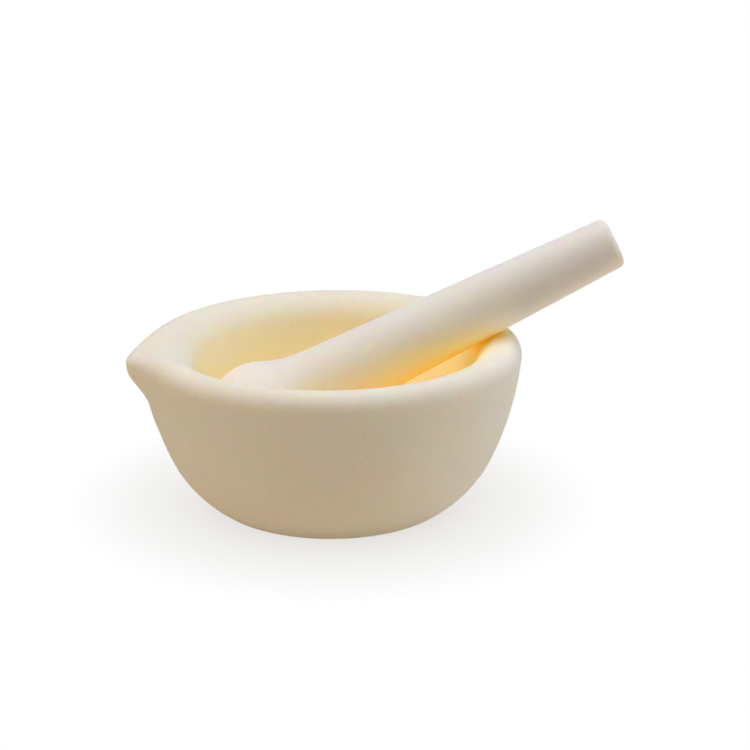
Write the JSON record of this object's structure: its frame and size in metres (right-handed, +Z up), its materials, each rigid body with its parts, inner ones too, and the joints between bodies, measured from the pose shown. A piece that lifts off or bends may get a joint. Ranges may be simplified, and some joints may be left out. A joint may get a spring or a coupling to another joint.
{
  "type": "mortar and pestle",
  "caption": "Thick round unglazed ceramic bowl with a pouring lip, and a tapered round-headed pestle that leans in it and sweeps round the bowl to grind.",
  "frame": {"origin": "centre of the flat underside of the bowl's foot", "axes": "+Z up along the bowl's axis; the pouring lip points along -X and the pestle's handle leaves over the rim along +X"},
  "size_m": [0.1307, 0.1, 0.0746],
  "materials": {
    "unglazed_ceramic": "matte, fine-grained ivory, unglazed"
  },
  "bodies": {
    "mortar": {"mortar": "unglazed_ceramic"},
    "pestle": {"pestle": "unglazed_ceramic"}
  },
  "joints": [
    {"name": "pestle_orbit", "type": "hinge", "parent": "mortar", "child": "pestle", "pos_m": [0, 0, 0.045], "axis": [0, 0, 1], "continuous": true}
  ]
}
